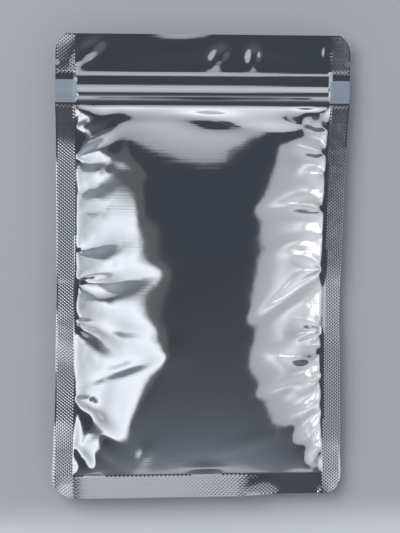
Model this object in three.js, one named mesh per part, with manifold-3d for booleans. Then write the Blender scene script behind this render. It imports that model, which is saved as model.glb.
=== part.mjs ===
// A resealable foil bag, filled, lying on its back.
//
// Two laminate films are heat sealed to each other along both sides and the bottom. A press-to-close
// zip crosses the bag below its mouth, and the header above the zip is open at the top, with a tear
// notch in each side seal. The filled chamber stands proud of the flat seals, and the film that the
// filling takes up is gathered into puckers along the side seals.
//
// Millimetres. X runs across the bag, Y from its bottom seal to its mouth, and Z up out of its front.
// The origin is on the surface that the bag lies on, under its middle.

import * as THREE from "three";
import { mergeVertices } from "three/addons/utils/BufferGeometryUtils.js";
import Module from "manifold-3d";

const wasm = await Module();
wasm.setup();

// The bag as cut
const WIDTH = 140;
const LENGTH = 220;
const FILM = 0.2;
const SIDE_SEAL = 10;
const BOTTOM_SEAL = 10;
const BOTTOM_CORNER_RADIUS = 9;
const TOP_CORNER_RADIUS = 10;
const TOP_CORNER_DROP = 8.7; // from the top edge down to where the side becomes straight

// The zip and the header
const HEADER = 18; // from the mouth down to the zip's flange
const FLANGE = 16; // the flange's height along the bag
const FLANGE_RISE = 0.3;
const RIDGE_DROP = 9.8; // from the flange's upper edge down to the ridge's crest
const RIDGE_RISE = 1.7;
const RIDGE_UPPER = 4.6; // the ridge's reach above its crest
const RIDGE_LOWER = 3.2; // and below it
const CRUSHED_RISE = 0.35; // the zip's end, pressed flat in the side seal
const CRUSH_LENGTH = 1.6; // over which the ridge runs out at the seal
const NOTCH_DROP = 13.5; // from the mouth down to the tear notches
const NOTCH_WIDTH = 2.4;
const LEFT_NOTCH_DEPTH = 2.1;
const RIGHT_NOTCH_DEPTH = 3.0;

// The mouth, whose two lips stand a little apart
const LIP_GAP = 0.4; // where the lips leave the zip and the side seals
const FRONT_GAPE = 1.1; // how far the front lip bows out at the middle of the mouth
const BACK_GAPE = 0.6;
const LIP_EASE = 1.2; // how far from a side seal a lip reaches its full gap

// The filled chamber
const SEAM_HEIGHT = 12.5; // from the surface below to the seals' middle plane
const FRONT_RISE = 15.4; // the front film above that plane
const SIDE_RUN = 53; // from a side seal in to where the front film levels out
const BOTTOM_RUN = 56;
const TOP_RUN = 52;
const HIP_SHARPNESS = 2.1; // how sharply the side and end slopes meet along the diagonals
const BACK_SIDE_RUN = 41; // the same for the back film, which lies flat on the surface
const BACK_BOTTOM_RUN = 38;
const BACK_TOP_RUN = 34;
const BACK_HIP_SHARPNESS = 1.6;
const LEFT_DRAW = 1.4; // how far the filling draws each side edge in
const RIGHT_DRAW = 2.4;

// How far the seals turn out of their plane, as pairs of a place along the seal and degrees. A side
// seal's outer edge leans down, and the bottom seal's curls up.
const LEFT_LEAN = [
  [0, 17],
  [25, 16],
  [41, 5],
  [66, 19],
  [94, 8],
  [120, 13],
  [150, 12],
  [176, 0],
  [206, 1],
  [220, 9],
];
const RIGHT_LEAN = [
  [0, 17],
  [14, 16],
  [26, 4],
  [62, 7],
  [82, 16],
  [98, 8],
  [112, 1],
  [206, 0],
];
const BOTTOM_CURL = [
  [-70, 10],
  [-52, 20],
  [22, 20],
  [38, 1],
  [56, 2],
  [64, 12],
];

// Puckers along the side seals, from the bottom up. at is the share of the chamber's length, depth
// the share of the slope that is lost at the seal, reach the share of the chamber's half width over
// which it fades, fan its half width in the same measure, and slant how far it climbs on its way in.
const LEFT_PUCKERS = [
  { at: 0.08, depth: 0.7, reach: 0.5, fan: 0.13, slant: 0.35 },
  { at: 0.205, depth: 0.3, reach: 0.5, fan: 0.12, slant: -0.3 },
  { at: 0.41, depth: 0.8, reach: 0.5, fan: 0.06, slant: -0.05 },
  { at: 0.53, depth: 0.3, reach: 0.2, fan: 0.06, slant: 0.2 },
  { at: 0.615, depth: 0.6, reach: 0.5, fan: 0.09, slant: -0.05 },
  { at: 0.865, depth: 0.4, reach: 0.5, fan: 0.13, slant: -0.35 },
  { at: 0.945, depth: 0.5, reach: 0.5, fan: 0.12, slant: -0.35 },
];
const RIGHT_PUCKERS = [
  { at: 0.115, depth: 0.25, reach: 0.5, fan: 0.13, slant: 0.35 },
  { at: 0.265, depth: 0.4, reach: 0.5, fan: 0.1, slant: 0.2 },
  { at: 0.39, depth: 0.35, reach: 0.2, fan: 0.06, slant: -0.3 },
  { at: 0.56, depth: 0.3, reach: 0.2, fan: 0.06, slant: 0.3 },
  { at: 0.78, depth: 0.3, reach: 0.5, fan: 0.06, slant: 0 },
  { at: 0.88, depth: 0.8, reach: 0.35, fan: 0.06, slant: 0.2 },
  { at: 0.95, depth: 0.3, reach: 0.2, fan: 0.06, slant: 0.3 },
];
const CREASE_SPREAD = 0.16; // how fast a pucker's sharp line softens on its way in

// The mesh
const ROW_STEP = 3.8;
const HEADER_STEP = 4;
const CHAMBER_COLUMNS = [0, 0.03, 0.075, 0.13, 0.2, 0.29, 0.4, 0.53, 0.68, 0.84, 1];
const SEAL_COLUMNS = [0];
const CUT_MARGIN = 1; // how far a cutter runs past what it cuts
const ARC_SEGMENTS = 12;

// Places that follow from these
const HALF = WIDTH / 2;
const HALF_CHAMBER = HALF - SIDE_SEAL;
const FLANGE_TOP = LENGTH - HEADER;
const FLANGE_BOTTOM = FLANGE_TOP - FLANGE;
const RIDGE_CREST = FLANGE_TOP - RIDGE_DROP;
const CHAMBER = FLANGE_BOTTOM - BOTTOM_SEAL;
const MIDDLE = LENGTH / 2;

const clamp01 = (x) => Math.min(1, Math.max(0, x));
const ease = (x) => clamp01(x) ** 2 * (3 - 2 * clamp01(x));
const swell = (x) => Math.sin((clamp01(x) * Math.PI) / 2);
const slope = (degrees) => Math.tan((degrees * Math.PI) / 180);

// A smooth version of the least of some shares from 0 to 1. It is 1 where all of them are.
function softLeast(shares, sharpness) {
  if (Math.min(...shares) <= 0) return 0;
  const sum = shares.reduce((total, x) => total + x ** -sharpness, 1 - shares.length);
  return sum ** (-1 / sharpness);
}

// A curve through pairs of a place and a value, level at each of them.
function through(pairs, at) {
  const next = pairs.findIndex(([place]) => place > at);
  if (next < 0) return pairs[pairs.length - 1][1];
  if (next === 0) return pairs[0][1];
  const [start, before] = pairs[next - 1];
  const [end, after] = pairs[next];
  return before + (after - before) * ease((at - start) / (end - start));
}

// The share of the slope that the puckers leave at across, along, both from the bag's own corner.
function puckerLoss(across, along) {
  const inward = HALF_CHAMBER - Math.abs(across);
  let kept = 1;
  for (const pucker of across < 0 ? LEFT_PUCKERS : RIGHT_PUCKERS) {
    const line = BOTTOM_SEAL + pucker.at * CHAMBER + pucker.slant * inward;
    const off = Math.hypot(along - line, CREASE_SPREAD * inward);
    const fan = Math.exp(-off / (pucker.fan * HALF_CHAMBER));
    const fade = Math.exp(-((inward / (pucker.reach * HALF_CHAMBER)) ** 2));
    kept *= 1 - pucker.depth * fan * fade;
  }
  return 1 - kept;
}

// How full the chamber is, from 0 at a seal to 1 where the film has levelled out.
function fullness(across, along, sideRun, bottomRun, topRun, sharpness) {
  const inward = (HALF_CHAMBER - Math.abs(across)) * (1 - puckerLoss(across, along));
  const side = swell(inward / sideRun);
  const bottom = swell((along - BOTTOM_SEAL) / bottomRun);
  const top = swell((FLANGE_BOTTOM - along) / topRun);
  return softLeast([side, bottom, top], sharpness);
}

// The zip's rise over the seals, which is the same on both films.
function zipRise(across, along) {
  if (along < FLANGE_BOTTOM || along > FLANGE_TOP) return 0;
  const reach = along > RIDGE_CREST ? RIDGE_UPPER : RIDGE_LOWER;
  const ridge = 0.5 + 0.5 * Math.cos(Math.PI * clamp01(Math.abs(along - RIDGE_CREST) / reach));
  const inSeal = ease((Math.abs(across) - HALF_CHAMBER) / CRUSH_LENGTH);
  return FLANGE_RISE + ridge * (RIDGE_RISE + (CRUSHED_RISE - RIDGE_RISE) * inSeal);
}

// How far a lip of the mouth stands from the middle plane, inside.
function lipRise(across, along, gape) {
  const above = clamp01((along - FLANGE_TOP) / HEADER);
  const fromSeal = (HALF_CHAMBER - Math.abs(across)) / LIP_EASE;
  const bow = 1 - clamp01(Math.abs(across) / HALF_CHAMBER) ** 2;
  return (LIP_GAP / 2) * ease(fromSeal) + gape * bow * ease(above);
}

// The seals' middle plane, which turns down along the side seals and up along the bottom one.
function seamHeight(across, along) {
  const outward = Math.max(0, Math.abs(across) - HALF_CHAMBER);
  const below = Math.max(0, BOTTOM_SEAL - along);
  const lean = through(across < 0 ? LEFT_LEAN : RIGHT_LEAN, along);
  return SEAM_HEIGHT - outward * slope(lean) + below * slope(through(BOTTOM_CURL, across));
}

function frontHeight(across, along) {
  const full = fullness(across, along, SIDE_RUN, BOTTOM_RUN, TOP_RUN, HIP_SHARPNESS);
  const lip = along > FLANGE_TOP ? lipRise(across, along, FRONT_GAPE) : 0;
  return seamHeight(across, along) + FILM + FRONT_RISE * full + zipRise(across, along) + lip;
}

function backHeight(across, along) {
  const runs = [BACK_SIDE_RUN, BACK_BOTTOM_RUN, BACK_TOP_RUN];
  const full = fullness(across, along, ...runs, BACK_HIP_SHARPNESS);
  const lip = along > FLANGE_TOP ? lipRise(across, along, BACK_GAPE) : 0;
  const film = seamHeight(across, along) - FILM;
  return film * (1 - full) - zipRise(across, along) - lip;
}

// The filling draws the side edges in along the chamber.
function drawnIn(across, along) {
  const share = clamp01((along - BOTTOM_SEAL) / CHAMBER);
  const draw = across < 0 ? LEFT_DRAW : RIGHT_DRAW;
  return across * (1 - (draw / HALF) * Math.sin(Math.PI * share) ** 0.8);
}

// A closed solid between two height functions, over a grid of columns across and rows along.
function slab(columns, rows, top, bottom, place) {
  const points = [];
  for (const height of [top, bottom]) {
    for (const along of rows) {
      for (const across of columns) {
        points.push(place(across, along), along - MIDDLE, height(across, along));
      }
    }
  }
  const wide = columns.length;
  const long = rows.length;
  const upper = (i, j) => j * wide + i;
  const lower = (i, j) => wide * long + j * wide + i;
  const faces = [];
  const quad = (a, b, c, d) => faces.push(a, b, c, a, c, d);
  // The side and end slopes meet along diagonals that run in from the four corners. A quad is cut
  // the same way as the diagonal of its own quarter.
  const patch = (a, b, c, d, falls) => (falls ? quad(b, c, d, a) : quad(a, b, c, d));
  for (let j = 0; j + 1 < long; j++) {
    for (let i = 0; i + 1 < wide; i++) {
      const falls = (columns[i] + columns[i + 1]) * (rows[j] + rows[j + 1] - LENGTH) < 0;
      patch(upper(i, j), upper(i + 1, j), upper(i + 1, j + 1), upper(i, j + 1), falls);
      patch(lower(i, j), lower(i, j + 1), lower(i + 1, j + 1), lower(i + 1, j), falls);
    }
    quad(upper(0, j), upper(0, j + 1), lower(0, j + 1), lower(0, j));
    quad(upper(wide - 1, j + 1), upper(wide - 1, j), lower(wide - 1, j), lower(wide - 1, j + 1));
  }
  for (let i = 0; i + 1 < wide; i++) {
    quad(upper(i + 1, 0), upper(i, 0), lower(i, 0), lower(i + 1, 0));
    quad(upper(i, long - 1), upper(i + 1, long - 1), lower(i + 1, long - 1), lower(i, long - 1));
  }
  const geometry = new THREE.BufferGeometry();
  geometry.setAttribute("position", new THREE.Float32BufferAttribute(points, 3));
  geometry.setIndex(faces);
  return toSolid(geometry);
}

// A geometry as a solid for joining and cutting, with its shared vertices merged.
function toSolid(geometry) {
  geometry.deleteAttribute("normal");
  geometry.deleteAttribute("uv");
  const merged = mergeVertices(geometry);
  const vertProperties = new Float32Array(merged.attributes.position.array);
  const triVerts = new Uint32Array(merged.index.array);
  return new wasm.Manifold(new wasm.Mesh({ numProp: 3, vertProperties, triVerts }));
}

function toGeometry(solid) {
  const mesh = solid.getMesh();
  const geometry = new THREE.BufferGeometry();
  geometry.setAttribute("position", new THREE.Float32BufferAttribute(mesh.vertProperties, 3));
  geometry.setIndex(Array.from(mesh.triVerts));
  return geometry;
}

// A straight-sided cutter through the whole bag.
function punch(shape) {
  const depth = SEAM_HEIGHT + FRONT_RISE + 2 * CUT_MARGIN;
  const geometry = new THREE.ExtrudeGeometry(shape, {
    depth,
    bevelEnabled: false,
    curveSegments: ARC_SEGMENTS,
  });
  return toSolid(geometry.translate(0, 0, -CUT_MARGIN));
}

// The waste outside a rounded corner. side and end are 1 or -1, and drop is how far from the end
// edge the side becomes straight. Where drop is under the radius, the end edge cuts the arc short.
function cornerWaste(side, end, radius, drop) {
  const centre = HALF - radius;
  const sweep = Math.asin(drop / radius);
  const shape = new THREE.Shape();
  shape.moveTo(side * (HALF + CUT_MARGIN), end * (MIDDLE - drop));
  shape.lineTo(side * HALF, end * (MIDDLE - drop));
  for (let step = 1; step <= ARC_SEGMENTS; step++) {
    const turn = (step / ARC_SEGMENTS) * sweep;
    const x = centre + radius * Math.cos(turn);
    shape.lineTo(side * x, end * (MIDDLE - drop + radius * Math.sin(turn)));
  }
  shape.lineTo(side * (centre + radius * Math.cos(sweep)), end * (MIDDLE + CUT_MARGIN));
  shape.lineTo(side * (HALF + CUT_MARGIN), end * (MIDDLE + CUT_MARGIN));
  return punch(shape);
}

// A tear notch with a round tip, cut into a side seal.
function notchWaste(side, depth) {
  const half = NOTCH_WIDTH / 2;
  const y = MIDDLE - NOTCH_DROP;
  const shape = new THREE.Shape();
  shape.moveTo(side * (HALF + CUT_MARGIN), y - half);
  shape.lineTo(side * (HALF - depth + half), y - half);
  for (let step = 1; step < ARC_SEGMENTS; step++) {
    const turn = -Math.PI / 2 - (step / ARC_SEGMENTS) * Math.PI;
    shape.lineTo(side * (HALF - depth + half + half * Math.cos(turn)), y + half * Math.sin(turn));
  }
  shape.lineTo(side * (HALF - depth + half), y + half);
  shape.lineTo(side * (HALF + CUT_MARGIN), y + half);
  return punch(shape);
}

// The free space between the two lips, from the zip up through the mouth.
function mouthWaste(columns) {
  const rows = [];
  const count = Math.ceil(HEADER / HEADER_STEP);
  for (let i = 0; i <= count; i++) rows.push(FLANGE_TOP + (HEADER * i) / count);
  rows.push(LENGTH + CUT_MARGIN);
  const inside = columns.filter((across) => Math.abs(across) < HALF_CHAMBER - LIP_EASE / 2);
  const front = (across, along) => seamHeight(across, along) + lipRise(across, along, FRONT_GAPE);
  const back = (across, along) => seamHeight(across, along) - lipRise(across, along, BACK_GAPE);
  return slab(inside, rows, front, back, (across) => across);
}

function gridColumns() {
  const half = [];
  for (const share of CHAMBER_COLUMNS) half.push(HALF_CHAMBER * (1 - share));
  for (const share of SEAL_COLUMNS) half.push(HALF - SIDE_SEAL * share);
  half.push(HALF_CHAMBER + CRUSH_LENGTH);
  half.push(HALF_CHAMBER - LIP_EASE);
  const both = half.flatMap((across) => (across === 0 ? [0] : [across, -across]));
  return [...new Set(both)].sort((a, b) => a - b);
}

// Rows through every pucker's start and every edge of the zip, with even rows between them.
function gridRows() {
  const puckers = [...LEFT_PUCKERS, ...RIGHT_PUCKERS];
  const fixed = puckers.map((pucker) => BOTTOM_SEAL + pucker.at * CHAMBER);
  const ridge = [-1, -0.55, 0, 0.3, 0.65, 1];
  for (const share of ridge) {
    fixed.push(RIDGE_CREST + share * (share < 0 ? RIDGE_LOWER : RIDGE_UPPER));
  }
  fixed.push(0, BOTTOM_SEAL / 2, BOTTOM_SEAL, FLANGE_BOTTOM, FLANGE_BOTTOM + FLANGE_RISE);
  fixed.push(FLANGE_TOP - FLANGE_RISE, FLANGE_TOP, LENGTH);
  fixed.sort((a, b) => a - b);
  const rows = [0];
  for (const next of fixed) {
    const last = rows[rows.length - 1];
    const gap = next - last;
    if (gap < FLANGE_RISE / 2) continue;
    const count = Math.ceil(gap / (last < FLANGE_TOP ? ROW_STEP : HEADER_STEP));
    for (let i = 1; i <= count; i++) rows.push(last + (gap * i) / count);
  }
  return rows;
}

function buildBag() {
  const columns = gridColumns();
  let bag = slab(columns, gridRows(), frontHeight, backHeight, drawnIn);
  for (const side of [-1, 1]) {
    bag = bag.subtract(cornerWaste(side, -1, BOTTOM_CORNER_RADIUS, BOTTOM_CORNER_RADIUS));
    bag = bag.subtract(cornerWaste(side, 1, TOP_CORNER_RADIUS, TOP_CORNER_DROP));
  }
  bag = bag.subtract(notchWaste(-1, LEFT_NOTCH_DEPTH));
  bag = bag.subtract(notchWaste(1, RIGHT_NOTCH_DEPTH));
  bag = bag.subtract(mouthWaste(columns));
  return toGeometry(bag);
}

const foil = new THREE.MeshStandardMaterial({ color: 0xb9bdc2, roughness: 0.16, metalness: 1 });
const bag = new THREE.Mesh(buildBag(), foil);
bag.name = "foil_zip_bag";

const model = new THREE.Group();
model.add(bag);

export default model;
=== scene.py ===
# A resealable foil bag, filled, lying on its back under soft studio light.
#
# The two films are relaxed from flat sheets that are held along their seals and pushed apart, so that
# their pillow shape and the puckers at the side seals come from the film's own length. The front film
# then gets its broader folds, as bumps and hollows, and small crumples. Sizes are in millimetres, with
# y from the bottom seal's edge, until the mesh is made.

import math

import bpy
import numpy as np
from mathutils import Matrix, Vector, noise


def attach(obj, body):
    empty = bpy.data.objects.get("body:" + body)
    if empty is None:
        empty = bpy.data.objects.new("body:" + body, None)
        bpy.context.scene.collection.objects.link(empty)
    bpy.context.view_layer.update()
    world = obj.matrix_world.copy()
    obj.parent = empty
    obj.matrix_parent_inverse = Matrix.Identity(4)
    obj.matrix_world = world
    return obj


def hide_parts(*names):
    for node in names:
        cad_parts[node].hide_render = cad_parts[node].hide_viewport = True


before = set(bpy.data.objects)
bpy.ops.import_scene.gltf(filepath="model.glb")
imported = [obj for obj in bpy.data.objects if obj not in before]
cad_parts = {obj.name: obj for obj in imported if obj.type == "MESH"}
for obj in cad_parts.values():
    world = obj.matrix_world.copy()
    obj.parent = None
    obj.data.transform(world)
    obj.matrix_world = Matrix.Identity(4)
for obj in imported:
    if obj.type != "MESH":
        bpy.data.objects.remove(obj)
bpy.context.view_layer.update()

NODE = "foil_zip_bag"
MM = 0.001

# The bag as cut, the same sizes as the solid's
WIDTH = 140
LENGTH = 220
FILM = 0.2
SIDE_SEAL = 10
BOTTOM_SEAL = 10
BOTTOM_CORNER_RADIUS = 9
TOP_CORNER_RADIUS = 10
TOP_CORNER_DROP = 8.7
HEADER = 18
FLANGE = 16
NOTCH_DROP = 13.5
NOTCH_WIDTH = 2.4
NOTCH_DEPTH = {-1: 2.1, 1: 3.0}
LIP_GAP = 0.4
FRONT_GAPE = 1.1
BACK_GAPE = 0.6
LIP_EASE = 1.2
SEAM_HEIGHT = 12.5
SIDE_DRAW = {-1: 1.4, 1: 2.4}

HALF = WIDTH / 2
HALF_CHAMBER = HALF - SIDE_SEAL
FLANGE_TOP = LENGTH - HEADER
FLANGE_BOTTOM = FLANGE_TOP - FLANGE
CHAMBER = FLANGE_BOTTOM - BOTTOM_SEAL
MIDDLE = LENGTH / 2

# The zip's profile over the seals, as height at each distance below the mouth
ZIP_PROFILE = [
    (16.8, 0.0), (17.1, 0.09), (19.7, 1.02), (20.2, 1.08), (23.1, 1.10), (24.0, 1.26), (27.3, 2.46),
    (27.9, 2.55), (28.6, 2.45), (30.0, 1.25), (31.2, 0.42), (32.2, 0.3), (33.4, 0.55), (34.4, 0.7),
    (42.0, 0.0),
]
CRUSHED_RISE = 0.3  # what is left of the zip's rise in the side seals
CRUSH_LENGTH = 1.4
CRUSHED_SPAN = (21.5, 32.0)  # the smooth zip ends in the side seals, below the mouth

# Dimples in the header: x, y, length, width, angle in degrees, depth
DIMPLES = [
    (-54, 212.5, 16, 8, 38, 1.6), (-60, 207, 5, 4, 50, 0.5), (7, 210, 12, 8, 45, 1.6),
    (23.5, 210, 10, 7, 80, 1.4), (58.5, 212, 8, 4, 85, 0.6), (-10, 223.5, 46, 11, 2, 1.7),
    (-28, 210, 26, 9, 10, -0.25), (38, 212, 26, 9, -8, -0.25),
]

# The side seals lean out of their plane, as degrees at heights along the bag
FIN_LEAN = {
    -1: [(0, 17), (22, 16), (41, 3), (68, 20), (94, 6), (120, 13), (150, 12), (176, 0), (206, 1),
         (220, 5)],
    1: [(0, 17), (16, 16), (32, 4), (66, 4), (84, 14), (97, 15), (112, 1), (206, 0)],
}
# The bottom seal curls up at its outer edge, as degrees at places across the bag
BOTTOM_CURL = [(-70, 10), (-52, 26), (18, 26), (42, 1), (56, 2), (64, 12)]

# The crosshatch pressed into the seals, which stops short of their edges and of the crushed zip
EMBOSS = 0.07
EMBOSS_MARGIN = 0.4
EMBOSS_ABOVE_ZIP = 3
EMBOSS_BELOW_ZIP = 1
BOTTOM_EMBOSS = [(20, 0.012), (36, 0.045)]  # by how far to the right
EMBOSS_ROW = 0.75
EMBOSS_COLUMNS = 11

# Small facets where the film crumples beside the side seals
CRUMPLE = 0.3
CRUMPLE_CELL = 9
CRUMPLE_START = 2.5  # over this far from a side seal the crumples reach their full depth
CRUMPLE_REACH = 22
# How far in from the side seals the folds start to die out, and over what width
IRON_FROM = 9
IRON_REACH = 14
IRON_SHARE = 0.9
IRON_ROUNDS = 220

# Broad bumps and hollows of the front film's folds: x, y, length, width, angle in degrees, height
SWELLS = [
    (-17, 70, 20, 14, 25, 0.7), (-30, 44, 48, 18, 60, 1.1), (-31, 140, 30, 14, 78, 0.3),
    (-44, 104, 38, 9, 14, -1.9), (-46, 82, 32, 8, -4, -1.5), (-52, 92.5, 14, 12, 0, 0.8),
    (-40, 157, 34, 8, -22, -0.35), (-38, 62.5, 36, 5, 22, -0.8), (-50, 40, 32, 9, 75, -1.0),
    (4, 180.5, 30, 8, -4, 1.6), (38, 174, 34, 9, -8, 0.8),
    (42, 122, 22, 7, 12, 0.6), (43, 98, 34, 7, 32, -1.3),
    (45, 67, 24, 6, -14, -1.2), (43, 54, 24, 6, 16, -1.0), (42, 140, 30, 7, 8, -1.0),
    (-26, 22, 12, 8, 60, 0.7), (3, 13, 14, 6, 0, 0.7), (22, 26, 30, 8, 15, 0.3),
]

SWELL_EDGE = 4  # over this far from the seals the bumps reach their full height

# The film's spare length, and where each side seal loses it: y, share, width
SPARE_ACROSS = 0.5
SPARE_ALONG = 5.0
PINCHES = {
    -1: [(176, 0.45, 2.2), (162, 0.7, 2.0), (146, 0.15, 2.0), (135, 0.2, 2.0), (118, 0.6, 2.2),
         (103, 1.3, 2.2), (82.5, 1.4, 2.4), (46, 0.6, 3.0), (24, 0.3, 2.5)],
    1: [(177, 0.6, 2.4), (165, 0.5, 1.8), (156, 0.3, 1.8), (147, 0.2, 1.8), (137, 0.4, 2.0),
        (126, 0.2, 1.8), (109, 0.7, 2.2), (79, 1.4, 2.6), (69, 0.3, 2.0), (57, 0.6, 2.2),
        (39, 0.3, 2.0), (22, 0.3, 2.5)],
}

# Creases that hold the front film down: from x, y to x, y, then strength and width
FRONT_CREASES = [
    (-60, 176, -48, 168, 1.0, 2.0), (-60, 162, -32, 150, 1.3, 2.0), (-60, 118, -34, 122, 1.2, 2.0),
    (-60, 103, -36, 101, 1.6, 2.0), (-60, 82.5, -36, 86, 1.6, 2.0), (-60, 46, -50, 54, 0.8, 2.2),
    (-48, 56, -22, 69, 1.2, 2.0), (60, 177, 22, 178, 1.4, 2.2), (60, 165, 24, 172, 1.2, 1.8),
    (60, 156, 44, 157, 0.8, 1.6), (60, 147, 40, 151, 1.0, 1.6), (60, 137, 28, 140.5, 1.0, 1.8),
    (60, 126, 46, 125, 0.8, 1.6), (60, 109, 24, 88, 1.5, 2.0), (62, 79, 46, 87, 1.8, 2.2),
    (60, 69, 42, 67, 1.0, 1.6), (60, 57, 34, 48, 1.2, 1.8), (60, 39, 48, 38, 0.8, 1.6),
]
BACK_CREASES = [
    (-60, 162, -40, 156, 1.0, 2.0), (-60, 103, -40, 105, 1.2, 2.0), (-60, 82.5, -42, 80, 1.2, 2.0),
    (-60, 46, -42, 42, 1.2, 2.0), (60, 165, 42, 160, 1.0, 2.0), (60, 109, 42, 112, 1.0, 2.0),
    (60, 79, 40, 76, 1.3, 2.0), (60, 57, 44, 60, 1.0, 2.0),
]

# The relaxation: grid, then rounds, push and stiffness in bending at each fineness
COARSE_COLUMNS = 30
COARSE_ROWS = 44
START_RISE = 14
SIDE_RUN = 57
BOTTOM_RUN = 80
TOP_RUN = 60
FRONT_STAGES = [(1500, 0.0012, 0.020), (1200, 0.0004, 0.012), (700, 0.00012, 0.006)]
BACK_STAGES = [(1500, 0.0012, 0.020), (900, 0.0004, 0.012)]
KEPT_SPEED = 0.96
SHEAR_HOLD = 0.5
NARROWEST_CREASE = 0.55  # in steps of the grid
CREASE_FADE = 0.7
BACK_COLUMN_SKIP = 3

# The header's dimples die out over this far from the zip and from just past the mouth
DIMPLE_EDGE = 3

# What cuts the bag to its outline, and how sharp an edge stays sharp when it is shaded
ARC_STEPS = 24
CUT_MARGIN = 2
CUT_LOW = -5.0
CUT_HIGH = 60.0
MOUTH_COLUMNS = 61
MOUTH_ROWS = 19
SHARP_FROM = 55  # degrees


def clamp01(x):
    return np.clip(x, 0, 1)


def ease(x):
    return clamp01(x) ** 2 * (3 - 2 * clamp01(x))


def drawn_in(x, y):
    """Where a point across the bag goes when the filling draws the side edges in."""
    share = clamp01((y - BOTTOM_SEAL) / CHAMBER)
    draw = np.where(x < 0, SIDE_DRAW[-1], SIDE_DRAW[1])
    return x * (1 - draw / HALF * np.sin(np.pi * share) ** 0.8)


# The relaxed films


def seal_line(count, side):
    """The y of each film row where a side seal holds it. The seal loses its spare length at pinches."""
    sheet = CHAMBER + SPARE_ALONG
    fine = np.linspace(0, sheet, 4000)
    rate = np.ones_like(fine)
    for y, share, width in PINCHES[side]:
        at = (y - BOTTOM_SEAL) * sheet / CHAMBER
        rate -= share / (width * math.sqrt(math.pi)) * np.exp(-(((fine - at) / width) ** 2))
    steps = (rate[1:] + rate[:-1]) / 2
    place = np.concatenate([[0], np.cumsum(steps)])
    rows = np.linspace(0, sheet, count)
    return BOTTOM_SEAL + CHAMBER * np.interp(rows, fine, place) / place[-1]


def start_sheet(columns, rows):
    across = np.linspace(-HALF_CHAMBER, HALF_CHAMBER, columns + 1)
    along = np.linspace(BOTTOM_SEAL, FLANGE_BOTTOM, rows + 1)
    x, y = np.meshgrid(across, along)
    sides = np.sin(clamp01((HALF_CHAMBER - np.abs(x)) / SIDE_RUN) * np.pi / 2)
    bottom = np.sin(clamp01((y - BOTTOM_SEAL) / BOTTOM_RUN) * np.pi / 2)
    top = np.sin(clamp01((FLANGE_BOTTOM - y) / TOP_RUN) * np.pi / 2)
    z = START_RISE * np.minimum(sides, np.minimum(bottom, top))
    return np.stack([drawn_in(x, y), y, z], -1)


def hold_in_seals(sheet):
    for column, side in ((0, -1), (-1, 1)):
        y = seal_line(len(sheet), side)
        sheet[:, column, 0] = drawn_in(np.full_like(y, side * HALF_CHAMBER), y)
        sheet[:, column, 1] = y
        sheet[:, column, 2] = 0


def crease_hold(shape, creases):
    """How strongly the creases hold each point of a sheet down."""
    rows, columns = shape
    across = np.linspace(-HALF_CHAMBER, HALF_CHAMBER, columns)
    along = np.linspace(BOTTOM_SEAL, FLANGE_BOTTOM, rows)
    u, v = np.meshgrid(across, along)
    narrowest = NARROWEST_CREASE * 2 * HALF_CHAMBER / (columns - 1)
    total = np.zeros(shape)
    for x0, y0, x1, y1, strength, width in creases:
        dx, dy = x1 - x0, y1 - y0
        t = clamp01(((u - x0) * dx + (v - y0) * dy) / (dx * dx + dy * dy))
        off = np.hypot(u - x0 - t * dx, v - y0 - t * dy) / max(width, narrowest)
        total = np.maximum(total, strength * (1 - t) ** CREASE_FADE * np.exp(-(off**2)))
    return total[..., None]


def neighbour_pairs(shape, down, right):
    """Neighbours in one direction of a grid, as two sets of slices in which no point comes twice."""
    rows, columns = shape
    sets = []
    for first in (0, 1):
        if down:
            a_rows, b_rows = slice(first, rows - 1, 2), slice(first + 1, rows, 2)
            a_columns = slice(max(-right, 0), columns - max(right, 0))
            b_columns = slice(max(right, 0), columns - max(-right, 0))
        else:
            a_rows = b_rows = slice(0, rows)
            a_columns, b_columns = slice(first, columns - 1, 2), slice(first + 1, columns, 2)
        sets.append(((a_rows, a_columns), (b_rows, b_columns)))
    return sets


def unit_normals(sheet):
    normal = np.cross(np.gradient(sheet, axis=1), np.gradient(sheet, axis=0))
    return normal / np.linalg.norm(normal, axis=-1, keepdims=True)


def keep_length(sheet, free, a, b, length, hold):
    """Moves each pair of neighbours towards the length that the flat film has between them."""
    apart = sheet[b] - sheet[a]
    now = np.sqrt((apart * apart).sum(-1, keepdims=True))
    share = np.maximum(free[a] + free[b], 1e-9)
    move = hold * (now - length) / now / share * apart
    sheet[a] += free[a] * move
    sheet[b] -= free[b] * move


def bending(sheet):
    """How far each point's curvature differs from its neighbours'."""
    curve = np.zeros_like(sheet)
    curve[1:-1] += sheet[2:] + sheet[:-2] - 2 * sheet[1:-1]
    curve[:, 1:-1] += sheet[:, 2:] + sheet[:, :-2] - 2 * sheet[:, 1:-1]
    force = np.zeros_like(sheet)
    around = curve[2:, 1:-1] + curve[:-2, 1:-1] + curve[1:-1, 2:] + curve[1:-1, :-2]
    force[1:-1, 1:-1] = around - 4 * curve[1:-1, 1:-1]
    return force


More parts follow.
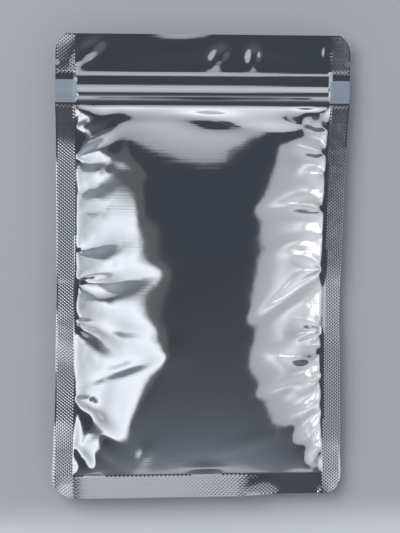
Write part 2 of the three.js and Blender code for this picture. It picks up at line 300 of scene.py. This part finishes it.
def relax(sheet, creases, rounds, push, stiffness, highest):
    shape = sheet.shape[:2]
    rows, columns = shape
    across = (2 * HALF_CHAMBER + SPARE_ACROSS) / (columns - 1)
    along = (CHAMBER + SPARE_ALONG) / (rows - 1)
    slant = math.hypot(across, along)
    links = []
    for down, right, length, hold in (
        (0, 1, across, 1), (1, 0, along, 1), (1, 1, slant, SHEAR_HOLD), (1, -1, slant, SHEAR_HOLD),
    ):
        links += [(a, b, length, hold) for a, b in neighbour_pairs(shape, down, right)]
    free = np.zeros(shape + (1,))
    free[1:-1, 1:-1] = 1
    pushed = push * free * (1 - crease_hold(shape, creases))
    speed = np.zeros_like(sheet)
    for _ in range(rounds):
        moved = sheet + KEPT_SPEED * speed + pushed * unit_normals(sheet)
        for a, b, length, hold in links:
            keep_length(moved, free, a, b, length, hold)
        moved -= stiffness * free * bending(moved)
        if highest is not None:
            moved[..., 2] = np.minimum(moved[..., 2], highest)
        speed = moved - sheet
        sheet = moved
    return sheet


def halve_steps(sheet):
    rows = np.empty((2 * sheet.shape[0] - 1, sheet.shape[1], 3))
    rows[::2] = sheet
    rows[1::2] = (sheet[1:] + sheet[:-1]) / 2
    fine = np.empty((rows.shape[0], 2 * rows.shape[1] - 1, 3))
    fine[:, ::2] = rows
    fine[:, 1::2] = (rows[:, 1:] + rows[:, :-1]) / 2
    return fine


def filled_film(creases, stages, highest=None):
    """A film's points, relaxed from coarse to fine, with z out of the bag from the seams."""
    sheet = start_sheet(COARSE_COLUMNS, COARSE_ROWS)
    if highest is not None:
        sheet[..., 2] = np.minimum(sheet[..., 2], highest)
    for step, (rounds, push, stiffness) in enumerate(stages):
        if step:
            sheet = halve_steps(sheet)
        hold_in_seals(sheet)
        sheet = relax(sheet, creases, rounds, push, stiffness, highest)
    return sheet


def ironed(sheet):
    """The film with its folds smoothed out towards the middle, where they die out."""
    smooth = sheet[..., 2].copy()
    for _ in range(IRON_ROUNDS):
        smooth[1:-1] = (smooth[2:] + smooth[:-2] + 2 * smooth[1:-1]) / 4
    inward = np.linspace(-HALF_CHAMBER, HALF_CHAMBER, sheet.shape[1])
    share = IRON_SHARE * ease((HALF_CHAMBER - np.abs(inward) - IRON_FROM) / IRON_REACH)
    result = sheet.copy()
    result[..., 2] += share * (smooth - sheet[..., 2])
    return result


def swollen(sheet):
    x, y = sheet[..., 0], sheet[..., 1]
    from_edge = np.minimum(HALF_CHAMBER - np.abs(x), np.minimum(y - BOTTOM_SEAL, FLANGE_BOTTOM - y))
    result = sheet.copy()
    result[..., 2] += sum_of_bumps(x, y, SWELLS) * ease(from_edge / SWELL_EDGE)
    return result


def crumpled(sheet):
    """The film with small flat facets beside the side seals, as foil gets when it is gathered."""
    result = sheet.copy()
    for row in result:
        for point in row:
            inward = HALF_CHAMBER - abs(point[0])
            fade = ease((CRUMPLE_REACH - inward) / CRUMPLE_REACH)
            depth = CRUMPLE * ease(inward / CRUMPLE_START) * fade
            if depth > 0:
                cell = Vector((point[0] / CRUMPLE_CELL, point[1] / CRUMPLE_CELL, 0))
                near = noise.voronoi(cell, distance_metric="DISTANCE_SQUARED")[0]
                point[2] += depth * (near[1] - near[0] - 0.5)
    return result


def resample(values, count):
    """A smooth curve through the rows of values, read at count even places."""
    last = len(values) - 1
    at = np.linspace(0, last, count)
    i = np.minimum(at.astype(int), last - 1)
    t = (at - i).reshape((-1,) + (1,) * (values.ndim - 1))
    a, b, c, d = (values[np.clip(i + k, 0, last)] for k in (-1, 0, 1, 2))
    return b + t / 2 * (c - a + t * (2 * a - 5 * b + 4 * c - d + t * (3 * (b - c) + d - a)))


# The seals, zip and header


def smooth_steps(points, at):
    """A curve through points that is level at each of them."""
    xs = np.array([p[0] for p in points], float)
    ys = np.array([p[1] for p in points], float)
    k = np.clip(np.searchsorted(xs, at) - 1, 0, len(xs) - 2)
    return ys[k] + (ys[k + 1] - ys[k]) * ease((at - xs[k]) / (xs[k + 1] - xs[k]))


def profile_height(below):
    """The zip's rise at distances below the mouth, on a curve that keeps the profile's slopes."""
    xs = np.array([p[0] for p in ZIP_PROFILE])
    ys = np.array([p[1] for p in ZIP_PROFILE])
    slopes = np.gradient(ys, xs)
    slopes[[0, -1]] = 0
    k = np.clip(np.searchsorted(xs, below) - 1, 0, len(xs) - 2)
    wide = xs[k + 1] - xs[k]
    t = clamp01((below - xs[k]) / wide)
    rise = ys[k] * (1 + 2 * t) * (1 - t) ** 2 + ys[k + 1] * t * t * (3 - 2 * t)
    return rise + wide * (slopes[k] * t * (1 - t) ** 2 - slopes[k + 1] * t * t * (1 - t))


def zip_rise(x, y):
    below = LENGTH - y
    inside = (below > ZIP_PROFILE[0][0]) & (below < ZIP_PROFILE[-1][0])
    kept = 1 + (CRUSHED_RISE - 1) * ease((np.abs(x) - HALF_CHAMBER) / CRUSH_LENGTH)
    return np.where(inside, profile_height(below) * kept, 0)


def lip_rise(x, y, gape):
    above = clamp01((y - FLANGE_TOP) / HEADER)
    from_seal = (HALF_CHAMBER - np.abs(x)) / LIP_EASE
    bow = 1 - clamp01(np.abs(x) / HALF_CHAMBER) ** 2
    rise = LIP_GAP / 2 * ease(from_seal) + gape * bow * ease(above)
    return np.where(y > FLANGE_TOP, rise, 0)


def sum_of_bumps(x, y, bumps):
    """The height of smooth oval bumps, each given by x, y, length, width, angle and height."""
    total = np.zeros(np.broadcast(x, y).shape)
    for at_x, at_y, long, wide, angle, height in bumps:
        turn = math.radians(angle)
        u = (x - at_x) * math.cos(turn) + (y - at_y) * math.sin(turn)
        v = (y - at_y) * math.cos(turn) - (x - at_x) * math.sin(turn)
        total += height * np.exp(-((2 * u / long) ** 2) - (2 * v / wide) ** 2)
    return total


def dimple_depth(x, y):
    from_zip = ease((y - FLANGE_TOP) / DIMPLE_EDGE)
    from_mouth = ease((LENGTH + DIMPLE_EDGE - y) / DIMPLE_EDGE)
    return sum_of_bumps(x, y, DIMPLES) * from_zip * from_mouth


def seam_height(x, y):
    """The seals' middle plane, which leans along the side seals and curls up along the bottom one."""
    curl = np.tan(np.radians(smooth_steps(BOTTOM_CURL, x)))
    height = SEAM_HEIGHT + np.maximum(BOTTOM_SEAL - y, 0) * curl
    for side, leans in FIN_LEAN.items():
        out = np.maximum(side * x - HALF_CHAMBER, 0)
        height = height - out * np.tan(np.radians(smooth_steps(leans, y)))
    return height


def emboss_height(x, y):
    """How deep the crosshatch is pressed in. The crushed ends of the zip have none."""
    below = LENGTH - y
    within = np.abs(x) < HALF - EMBOSS_MARGIN
    inside = within & (y > EMBOSS_MARGIN) & (y < LENGTH - EMBOSS_MARGIN)
    in_side = np.abs(x) > HALF_CHAMBER + EMBOSS_MARGIN
    zip_top, zip_bottom = CRUSHED_SPAN
    crushed = (below > zip_top - EMBOSS_ABOVE_ZIP) & (below < zip_bottom + EMBOSS_BELOW_ZIP)
    side = EMBOSS * (in_side & ~crushed)
    bottom = smooth_steps(BOTTOM_EMBOSS, x) * (~in_side & (y < BOTTOM_SEAL - EMBOSS_MARGIN))
    return inside * (side + bottom)


def sheet_outside_chamber(x, y, side):
    """The outer surface of the front film, side 1, or the back film, side -1, where it is sealed."""
    gape = FRONT_GAPE if side > 0 else BACK_GAPE
    proud = FILM + zip_rise(x, y) + lip_rise(x, y, gape)
    return seam_height(x, y) - dimple_depth(x, y) + side * proud


# The mesh of the whole bag


def bag_columns(chamber_columns):
    fin = np.linspace(0, SIDE_SEAL, EMBOSS_COLUMNS + 1)[1:] + HALF_CHAMBER
    chamber = np.linspace(-HALF_CHAMBER, HALF_CHAMBER, chamber_columns)
    return np.concatenate([-fin[::-1], chamber, fin])


def bag_rows(low, high):
    return np.linspace(low, high, round((high - low) / EMBOSS_ROW) + 1)


def film_surface(film, side):
    """The rows of points of one film's outer surface, from the bottom edge to the mouth."""
    chamber_rows = len(bag_rows(BOTTOM_SEAL, FLANGE_BOTTOM))
    chamber = resample(film, chamber_rows)
    skip = 1 if side > 0 else BACK_COLUMN_SKIP
    seal_columns = bag_columns(film.shape[1])
    columns = bag_columns(len(range(0, film.shape[1], skip)))
    surface = []
    for y in bag_rows(0, BOTTOM_SEAL)[:-1]:
        surface.append(sealed_row(seal_columns, y, side))
    fins = {s: resample(seal_line(len(film), s), chamber_rows) for s in (-1, 1)}
    for row in range(chamber_rows):
        inner = chamber[row, ::skip].copy()
        proud = FILM + inner[:, 2] + zip_rise(inner[:, 0], inner[:, 1])
        inner[:, 2] = SEAM_HEIGHT + side * proud
        left = sealed_row(columns[:EMBOSS_COLUMNS], fins[-1][row], side)
        right = sealed_row(columns[-EMBOSS_COLUMNS:], fins[1][row], side)
        surface.append(np.concatenate([left, inner, right]))
    for low, high in ((FLANGE_BOTTOM, FLANGE_TOP), (FLANGE_TOP, LENGTH)):
        for y in bag_rows(low, high)[1:]:
            surface.append(sealed_row(columns, y, side))
    return emboss_rows(surface)


def sealed_row(x, y, side):
    """Points at the places x across the bag and one y, where the films are sealed."""
    y = np.full_like(x, y)
    return np.stack([drawn_in(x, y), y, sheet_outside_chamber(x, y, side)], -1)


def emboss_rows(surface):
    """Presses every other point of the seals up and the rest down, counted from each outer edge."""
    for j, row in enumerate(surface):
        count = len(row)
        i = np.minimum(np.arange(count), np.arange(count)[::-1])
        sign = np.where((i + j) % 2, 1, -1)
        stretch = HALF / abs(row[0, 0])
        row[:, 2] += sign * emboss_height(row[:, 0] * stretch, row[:, 1])
    return surface


def zip_together(lower, upper):
    """Triangles between two rows of points, given as (index, x), whatever their counts."""
    faces = []
    i = j = 0
    while i + 1 < len(lower) or j + 1 < len(upper):
        take_lower = j + 1 >= len(upper) or (
            i + 1 < len(lower) and lower[i + 1][1] <= upper[j + 1][1] + 1e-6
        )
        if take_lower:
            faces.append((lower[i][0], lower[i + 1][0], upper[j][0]))
            i += 1
        else:
            faces.append((lower[i][0], upper[j + 1][0], upper[j][0]))
            j += 1
    return faces


def cut_quads(low, high, low_row, high_row):
    """Two triangles for each square between two rows, cut along the higher diagonal."""
    faces = []
    rising = low_row[:-1, 2] + high_row[1:, 2]
    falling = low_row[1:, 2] + high_row[:-1, 2]
    for k, rises in enumerate(rising > falling):
        a, b, c, d = low[k], low[k + 1], high[k + 1], high[k]
        faces += [(a, b, c), (a, c, d)] if rises else [(a, b, d), (b, c, d)]
    return faces


def rows_to_faces(surface, first, flip):
    """The faces of a surface of rows, and each row's point numbers."""
    numbers = []
    for row in surface:
        numbers.append(np.arange(first, first + len(row)))
        first += len(row)
    faces = []
    for low, high, low_row, high_row in zip(numbers, numbers[1:], surface, surface[1:]):
        if len(low) == len(high):
            faces += cut_quads(low, high, low_row, high_row)
        else:
            faces += zip_together(list(zip(low, low_row[:, 0])), list(zip(high, high_row[:, 0])))
    if flip:
        faces = [face[::-1] for face in faces]
    return faces, numbers, first


def closed_shell(front, back):
    """Points and triangles of the closed body between two surfaces with as many rows."""
    front_faces, front_rows, following = rows_to_faces(front, 0, False)
    back_faces, back_rows, _ = rows_to_faces(back, following, True)
    faces = front_faces + back_faces
    for a, b, c, d in zip(front_rows, front_rows[1:], back_rows, back_rows[1:]):
        faces += [(a[0], b[0], d[0]), (a[0], d[0], c[0])]
        faces += [(b[-1], a[-1], c[-1]), (b[-1], c[-1], d[-1])]
    for end, flip in ((0, True), (-1, False)):
        lower = list(zip(front_rows[end], front[end][:, 0]))
        upper = list(zip(back_rows[end], back[end][:, 0]))
        wall = zip_together(lower, upper)
        faces += [face[::-1] for face in wall] if flip else wall
    return np.concatenate(front + back), faces


def to_object(name, points, faces):
    place = (np.asarray(points) - [0, MIDDLE, 0]) * MM
    mesh = bpy.data.meshes.new(name)
    mesh.from_pydata(place.tolist(), [], [tuple(int(k) for k in face) for face in faces])
    mesh.update()
    made = bpy.data.objects.new(name, mesh)
    bpy.context.scene.collection.objects.link(made)
    return made


def prism(name, outline):
    """A cutter through the whole bag, from an outline in the bag's plane that runs anticlockwise."""
    count = len(outline)
    points = [(x, y, z) for z in (CUT_LOW, CUT_HIGH) for x, y in outline]
    faces = [tuple(range(count))[::-1], tuple(range(count, 2 * count))]
    for k in range(count):
        following = (k + 1) % count
        faces.append((k, following, count + following, count + k))
    return to_object(name, points, faces)


def anticlockwise(outline):
    area = sum(a[0] * b[1] - b[0] * a[1] for a, b in zip(outline, outline[1:] + outline[:1]))
    return outline if area > 0 else outline[::-1]


def corner_waste(side, end, radius, drop):
    """What is cut off outside a rounded corner. The side is straight from drop off the end on."""
    centre = HALF - radius
    sweep = math.asin(drop / radius)
    outline = [(HALF + CUT_MARGIN, MIDDLE - drop)]
    for step in range(ARC_STEPS + 1):
        turn = step / ARC_STEPS * sweep
        outline.append((centre + radius * math.cos(turn), MIDDLE - drop + radius * math.sin(turn)))
    outline.append((outline[-1][0], MIDDLE + CUT_MARGIN))
    outline.append((HALF + CUT_MARGIN, MIDDLE + CUT_MARGIN))
    placed = [(side * x, MIDDLE + end * y) for x, y in outline]
    return prism("corner_waste", anticlockwise(placed))


def notch_waste(side):
    half = NOTCH_WIDTH / 2
    y = LENGTH - NOTCH_DROP
    tip = HALF - NOTCH_DEPTH[side] + half
    outline = [(HALF + CUT_MARGIN, y - half)]
    for step in range(ARC_STEPS + 1):
        turn = -math.pi / 2 - step / ARC_STEPS * math.pi
        outline.append((tip + half * math.cos(turn), y + half * math.sin(turn)))
    outline.append((HALF + CUT_MARGIN, y + half))
    return prism("notch_waste", anticlockwise([(side * x, y) for x, y in outline]))


def mouth_waste():
    """The free space between the two lips, from the zip up through the mouth."""
    reach = HALF_CHAMBER - LIP_EASE / 2
    x = np.linspace(-reach, reach, MOUTH_COLUMNS)
    lips = []
    for side in (1, -1):
        rows = []
        for y in np.append(np.linspace(FLANGE_TOP, LENGTH, MOUTH_ROWS), LENGTH + CUT_MARGIN):
            y_read = np.full_like(x, max(min(y, LENGTH), FLANGE_TOP + 1e-3))
            z = sheet_outside_chamber(x, y_read, side) - side * (FILM + zip_rise(x, y_read))
            rows.append(np.stack([x, np.full_like(x, y), z], -1))
        lips.append(rows)
    points, faces = closed_shell(*lips)
    return to_object("mouth_waste", points, faces)


def cut(body, tools):
    for tool in tools:
        modifier = body.modifiers.new("cut", "BOOLEAN")
        modifier.operation = "DIFFERENCE"
        modifier.solver = "MANIFOLD"
        modifier.object = tool
    bpy.context.view_layer.update()
    evaluated = body.evaluated_get(bpy.context.evaluated_depsgraph_get())
    result = bpy.data.meshes.new_from_object(evaluated)
    body.modifiers.clear()
    body.data = result
    for tool in tools:
        bpy.data.objects.remove(tool)


def build_bag():
    front = crumpled(swollen(ironed(filled_film(FRONT_CREASES, FRONT_STAGES))))
    back = filled_film(BACK_CREASES, BACK_STAGES, SEAM_HEIGHT - FILM)
    points, faces = closed_shell(film_surface(front, 1), film_surface(back, -1))
    bag = to_object("foil_bag", points, faces)
    cut(bag, [
        corner_waste(-1, -1, BOTTOM_CORNER_RADIUS, BOTTOM_CORNER_RADIUS),
        corner_waste(1, -1, BOTTOM_CORNER_RADIUS, BOTTOM_CORNER_RADIUS),
        corner_waste(-1, 1, TOP_CORNER_RADIUS, TOP_CORNER_DROP),
        corner_waste(1, 1, TOP_CORNER_RADIUS, TOP_CORNER_DROP),
        notch_waste(-1),
        notch_waste(1),
        mouth_waste(),
    ])
    bag.data.shade_smooth()
    bag.data.set_sharp_from_angle(angle=math.radians(SHARP_FROM))
    for face in bag.data.polygons:
        x, y, _ = face.center / MM
        face.use_smooth = not emboss_height(x, y + MIDDLE)
    return bag


# Materials


class Nodes:
    """A material's node tree, with short calls to add nodes and links."""

    def __init__(self, name):
        self.material = bpy.data.materials.new(name)
        self.material.use_nodes = True
        self.tree = self.material.node_tree
        self.tree.nodes.clear()

    def add(self, kind, settings=None, inputs=None):
        node = self.tree.nodes.new(kind)
        for name, value in (settings or {}).items():
            setattr(node, name, value)
        for name, value in (inputs or {}).items():
            socket = node.inputs[name]
            if isinstance(value, bpy.types.NodeSocket):
                self.tree.links.new(value, socket)
            else:
                socket.default_value = value
        return node

    def math(self, operation, a, b=0.0, c=0.0):
        return self.add("ShaderNodeMath", {"operation": operation}, {0: a, 1: b, 2: c}).outputs[0]

    def between(self, value, low, high, soft):
        """1 where value is between low and high, with soft edges."""
        up = self.add("ShaderNodeMapRange", {"interpolation_type": "SMOOTHSTEP"}, {
            "Value": value, "From Min": low - soft, "From Max": low + soft}).outputs[0]
        down = self.add("ShaderNodeMapRange", {"interpolation_type": "SMOOTHSTEP"}, {
            "Value": value, "From Min": high + soft, "From Max": high - soft}).outputs[0]
        return self.math("MULTIPLY", up, down)


def foil_material():
    """Mirror-like metallised film with roll lines across it, and its smooth, duller zip ends, whose
    blue-grey tone is a painted reflection.
    """
    film_colour = (0.90, 0.91, 0.93, 1)
    # painted reflection: the crushed zip ends get a blue-grey colour in place of the reflection the
    # foil would show; their duller finish is the film's own
    crushed_painted_reflection = (0.30, 0.36, 0.44, 1)
    lines_scale = (9, 1500, 9)  # long across the bag and fine along it
    waves_scale = 110.0
    soft = 0.3 * MM
    nodes = Nodes("foil")
    place = nodes.add("ShaderNodeTexCoord").outputs["Object"]
    parts = nodes.add("ShaderNodeSeparateXYZ", None, {0: place})
    lines_at = nodes.add("ShaderNodeVectorMath", {"operation": "MULTIPLY"}, {
        0: place, 1: lines_scale}).outputs[0]
    lines = nodes.add("ShaderNodeTexNoise", None, {
        "Vector": lines_at, "Scale": 1.0, "Detail": 3.0, "Roughness": 0.6}).outputs["Fac"]
    waves = nodes.add("ShaderNodeTexNoise", None, {
        "Vector": place, "Scale": waves_scale, "Detail": 2.0, "Roughness": 0.5}).outputs["Fac"]
    line_bump = nodes.add("ShaderNodeBump", None, {
        "Height": lines, "Strength": 0.10, "Distance": 0.0002})
    bump = nodes.add("ShaderNodeBump", None, {
        "Height": waves, "Strength": 0.12, "Distance": 0.0004, "Normal": line_bump.outputs[0]})
    out = nodes.math("ABSOLUTE", parts.outputs["X"])
    in_fin = nodes.between(out, (HALF_CHAMBER + EMBOSS_MARGIN) * MM, WIDTH * MM, soft)
    zip_low = (MIDDLE - CRUSHED_SPAN[1]) * MM
    zip_high = (MIDDLE - CRUSHED_SPAN[0]) * MM
    in_zip = nodes.between(parts.outputs["Y"], zip_low, zip_high, soft)
    crushed = nodes.math("MULTIPLY", in_fin, in_zip)
    # where the zip is crushed, the film's colour gives way to the blue-grey painted reflection
    colour = nodes.add("ShaderNodeMix", {"data_type": "RGBA"}, {
        "Factor": crushed, "A": film_colour, "B": crushed_painted_reflection})
    metal = nodes.math("MULTIPLY_ADD", crushed, -0.7, 1.0)
    smears = nodes.add("ShaderNodeMapRange", None, {
        "Value": lines, "From Min": 0.3, "From Max": 0.7, "To Min": 0.07, "To Max": 0.11}).outputs[0]
    rough = nodes.math("MULTIPLY_ADD", crushed, 0.22, smears)
    shader = nodes.add("ShaderNodeBsdfPrincipled", None, {
        "Base Color": colour.outputs["Result"], "Metallic": metal, "Roughness": rough,
        "Normal": bump.outputs[0]})
    nodes.add("ShaderNodeOutputMaterial", None, {"Surface": shader.outputs[0]})
    return nodes.material


def floor_material():
    """A pale sheet with a band of painted light: it is painted lighter in front of the bag, standing in
    for floor that catches more light than the backdrop.
    """
    behind_colour = (0.37, 0.385, 0.405, 1)
    painted_light_colour = (0.58, 0.60, 0.62, 1)
    lighter_from = -0.112
    lighter_to = -0.135
    nodes = Nodes("pale_floor")
    place = nodes.add("ShaderNodeTexCoord").outputs["Object"]
    parts = nodes.add("ShaderNodeSeparateXYZ", None, {0: place})
    # painted light: from here towards the front the floor is painted lighter
    front = nodes.add("ShaderNodeMapRange", {"interpolation_type": "SMOOTHSTEP"}, {
        "Value": parts.outputs["Y"], "From Min": lighter_from, "From Max": lighter_to}).outputs[0]
    colour = nodes.add("ShaderNodeMix", {"data_type": "RGBA"}, {
        "Factor": front, "A": behind_colour, "B": painted_light_colour})
    shader = nodes.add("ShaderNodeBsdfPrincipled", None, {
        "Base Color": colour.outputs["Result"], "Roughness": 0.9, "Specular IOR Level": 0.1})
    nodes.add("ShaderNodeOutputMaterial", None, {"Surface": shader.outputs[0]})
    return nodes.material


def panel_material(name, colour, strengths, soft):
    """A lit panel that fades out over the soft share of its size at each edge."""
    nodes = Nodes(name)
    generated = nodes.add("ShaderNodeTexCoord").outputs["Generated"]
    parts = nodes.add("ShaderNodeSeparateXYZ", None, {0: generated})
    near, far, power = strengths
    along = nodes.math("POWER", parts.outputs["X"], power)
    strength = nodes.add("ShaderNodeMapRange", None, {
        "Value": along, "To Min": near, "To Max": far}).outputs[0]
    glow = nodes.add("ShaderNodeEmission", None, {"Color": (*colour, 1), "Strength": strength})
    surface = glow.outputs[0]
    if soft:
        inside = nodes.math(
            "MULTIPLY",
            nodes.between(parts.outputs["X"], soft / 2, 1 - soft / 2, soft / 2),
            nodes.between(parts.outputs["Y"], soft / 2, 1 - soft / 2, soft / 2),
        )
        clear = nodes.add("ShaderNodeBsdfTransparent").outputs[0]
        surface = nodes.add("ShaderNodeMixShader", None, {
            "Fac": inside, 1: clear, 2: surface}).outputs[0]
    nodes.add("ShaderNodeOutputMaterial", None, {"Surface": surface})
    return nodes.material


# The studio: lit and dark panels that only the film's reflections see, and one soft light

# name: corner, first edge, second edge in metres, colour, strength at the first edge's start and end
# with the power by which it changes between them, and the soft edge's share
PANELS = {
    "left_softbox": (
        (-0.14, -2.1, 1.10), (-1.0, 0, -0.6), (-0.54, 2.28, 0), (0.94, 0.98, 1.04), (1.5, 0.3, 0.5),
        0.15),
    "left_dim": (
        (-0.32, -1.2, 1.11), (-0.4, 0, 0), (0, 1.9, 0), (0.94, 1.0, 1.06), (0.11, 0.11, 1), 0),
    "left_top": (
        (-0.52, 0.10, 1.13), (-1.0, 0, -0.6), (-0.3, 2.1, 0), (0.9, 0.98, 1.1), (0.12, 0.5, 1), 0),
    "ceiling": (
        (-0.78, 0.47, 1.0), (0, 1.3, -0.7), (1.0, 0, 0), (0.95, 0.98, 1.03), (0.34, 1.15, 1), 0),
    "high_ceiling": (
        (0.22, 0.62, 0.919), (0, 1.15, -0.619), (0.45, 0, 0), (0.95, 0.98, 1.03), (0.5, 1.1, 1), 0),
    "right_wall": (
        (0.80, -2.2, 1.0), (1.2, 0, -0.75), (-0.32, 2.9, 0), (0.96, 0.985, 1.03), (0.42, 0.9, 1.2),
        0),
    "right_window": (
        (1.12, -0.5, 0.62), (0.3, 0, -0.19), (0, 0.35, 0), (0.98, 0.99, 1.02), (1.2, 1.2, 1), 0.06),
    "right_sheen": (
        (0.78, -0.50, 0.88), (0.42, 0, -0.26), (0, 0.6, 0), (0.95, 1.0, 1.06), (0.85, 0.85, 1), 0.5),
    "right_top": (
        (0.72, 0.66, 1.02), (1.0, 0, -0.6), (0, 1.4, 0), (0.9, 0.98, 1.1), (0.07, 0.2, 1), 0),
    "low_front": (
        (-0.9, -2.1, 1.0), (1.8, 0, 0), (0, -0.9, -0.6), (0.94, 0.98, 1.04), (0.4, 0.4, 1), 0),
    "dark_ceiling": (
        (-0.9, -0.1, 1.25), (2.6, 0, 0), (0, 2.3, 0), (0.87, 0.98, 1.22), (0.055, 0.055, 1), 0),
    "low_ceiling": (
        (1.7, -0.1, 1.25), (0, -2.7, 0), (-2.6, 0, 0), (0.9, 0.98, 1.14), (0.055, 0.21, 1), 0),
}
WORLD_COLOUR = (0.50, 0.52, 0.55)
LAMP_PLACE = (-1.0, 0.8, 2.0)
LAMP_SIZE = 1.3
LAMP_POWER = 36
FLOOR_SIZE = 4.0  # from the bag out to the floor's edges


def add_panel(name, corner, first, second, colour, strengths, soft):
    corner, first, second = Vector(corner), Vector(first), Vector(second)
    mesh = bpy.data.meshes.new(name)
    mesh.from_pydata([(0, 0, 0), (1, 0, 0), (1, 1, 0), (0, 1, 0)], [], [(0, 1, 2, 3)])
    panel = bpy.data.objects.new(name, mesh)
    bpy.context.scene.collection.objects.link(panel)
    edges = Matrix((first, second, first.cross(second).normalized())).transposed()
    panel.matrix_world = Matrix.Translation(corner) @ edges.to_4x4()
    mesh.materials.append(panel_material(name, colour, strengths, soft))
    panel.visible_camera = False
    panel.visible_diffuse = False
    panel.visible_shadow = False
    panel.visible_transmission = False


def add_floor():
    mesh = bpy.data.meshes.new("floor")
    turns = ((-1, -1), (1, -1), (1, 1), (-1, 1))
    corners = [(x * FLOOR_SIZE, y * FLOOR_SIZE, 0) for x, y in turns]
    mesh.from_pydata(corners, [], [(0, 1, 2, 3)])
    floor = bpy.data.objects.new("floor", mesh)
    bpy.context.scene.collection.objects.link(floor)
    mesh.materials.append(floor_material())


def add_lights():
    world = bpy.data.worlds.new("studio")
    world.use_nodes = True
    background = world.node_tree.nodes["Background"]
    background.inputs["Color"].default_value = (*WORLD_COLOUR, 1)
    background.inputs["Strength"].default_value = 1
    bpy.context.scene.world = world
    lamp = bpy.data.lights.new("soft_lamp", "AREA")
    lamp.shape = "SQUARE"
    lamp.size = LAMP_SIZE
    lamp.energy = LAMP_POWER
    holder = bpy.data.objects.new("soft_lamp", lamp)
    holder.location = LAMP_PLACE
    direction = Vector((0, 0, 0)) - holder.location
    holder.rotation_euler = direction.to_track_quat("-Z", "Y").to_euler()
    holder.visible_glossy = False
    holder.visible_camera = False
    bpy.context.scene.collection.objects.link(holder)


# The camera, where the photograph's corners put it

CAMERA_PLACE = (-0.1724, 0.1420, 1.1818)
CAMERA_TURN = (6.91, 8.30, 0.22)  # degrees by which the bag is turned away from the camera
CAMERA_LENS = 169.4


def add_camera():
    camera = bpy.data.cameras.new("camera")
    camera.lens = CAMERA_LENS
    camera.sensor_width = 36
    camera.clip_end = 50
    holder = bpy.data.objects.new("camera", camera)
    about_x, about_y, about_z = (math.radians(a) for a in CAMERA_TURN)
    bag_to_camera = (
        Matrix.Rotation(about_z, 3, "Z") @ Matrix.Rotation(about_y, 3, "Y")
        @ Matrix.Rotation(about_x, 3, "X")
    )
    holder.matrix_world = (
        Matrix.Translation(CAMERA_PLACE) @ bag_to_camera.transposed().to_4x4()
    )
    bpy.context.scene.collection.objects.link(holder)
    bpy.context.scene.camera = holder


add_camera()
bag = build_bag()
bag.data.materials.clear()
bag.data.materials.append(foil_material())
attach(bag, "root")
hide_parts(NODE)

for panel_name, settings in PANELS.items():
    add_panel(panel_name, *settings)
add_floor()
add_lights()
bpy.context.scene.view_settings.view_transform = "Standard"
